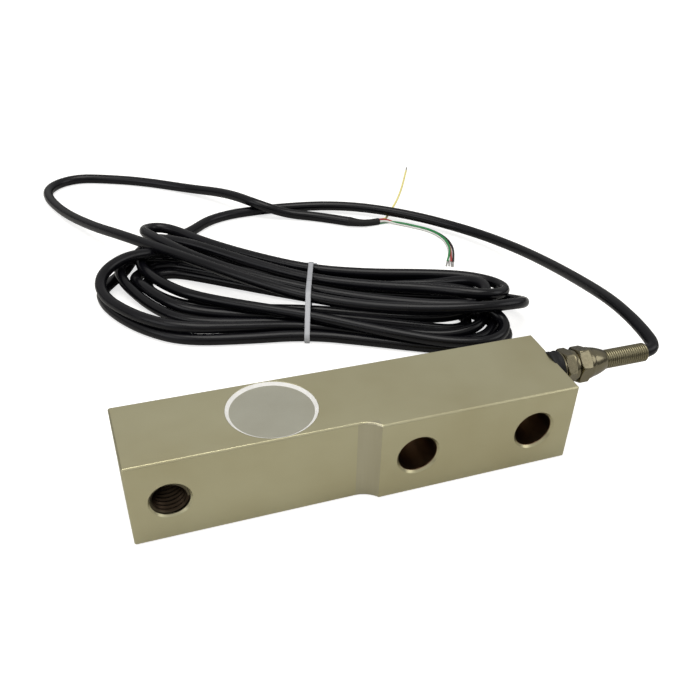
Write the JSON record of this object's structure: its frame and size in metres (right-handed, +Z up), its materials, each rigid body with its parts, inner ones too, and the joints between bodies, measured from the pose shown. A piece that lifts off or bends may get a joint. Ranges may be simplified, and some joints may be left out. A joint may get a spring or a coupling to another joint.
{
  "type": "shear beam load cell",
  "caption": "Single-ended shear beam load cell in nickel-plated steel, with its gauge pocket covers, a cable gland with an anti-kink spring, and a tied hank of cable ending in bared cores.",
  "frame": {"origin": "centre of the beam's underside, on the table", "axes": "+X along the beam towards its cable end, +Y from the mounting face to the back, +Z up, square to the gauge faces"},
  "size_m": [0.2155, 0.287, 0.0321],
  "materials": {
    "nickel_steel": "satin nickel plating",
    "pale_sealant": "smooth",
    "gauge_film": "thin film",
    "board_resin": "smooth",
    "bare_wire": "tinned",
    "red_insulation": "smooth",
    "black_insulation": "smooth",
    "green_insulation": "smooth",
    "white_insulation": "smooth",
    "yellow_insulation": "smooth",
    "black_jacket": "satin",
    "clear_coating": "soft",
    "black_rubber": "matt",
    "plated_brass": "satin nickel plating",
    "spring_steel": "satin nickel plating",
    "pale_tie": "smooth"
  },
  "bodies": {
    "root": {"beam_body": "nickel_steel", "upper_cover_disc": "nickel_steel", "lower_cover_disc": "nickel_steel", "upper_sealant_ring": "pale_sealant", "lower_sealant_ring": "pale_sealant", "upper_strain_gauge": "gauge_film", "lower_strain_gauge": "gauge_film", "terminal_board": "board_resin", "trim_resistors": "gauge_film", "jumper_wires": "bare_wire", "inner_core_red": "red_insulation", "inner_core_black": "black_insulation", "inner_core_green": "green_insulation", "inner_core_white": "white_insulation", "cable_inner": "black_jacket", "upper_gauge_coating": "clear_coating", "lower_gauge_coating": "clear_coating", "gland_seal": "black_rubber", "gland_body": "plated_brass", "gland_collar": "plated_brass", "gland_bush": "black_rubber", "gland_cap_nut": "plated_brass", "bend_spring": "spring_steel", "cable_hank": "black_jacket", "tie_strap": "pale_tie", "tie_head": "pale_tie", "cable_lead": "black_jacket", "cable_tail": "black_jacket", "end_sleeve": "black_rubber", "core_white": "white_insulation", "core_green": "green_insulation", "core_red": "red_insulation", "core_black": "black_insulation", "drain_wire": "yellow_insulation", "tinned_tips": "bare_wire"}
  },
  "joints": []
}
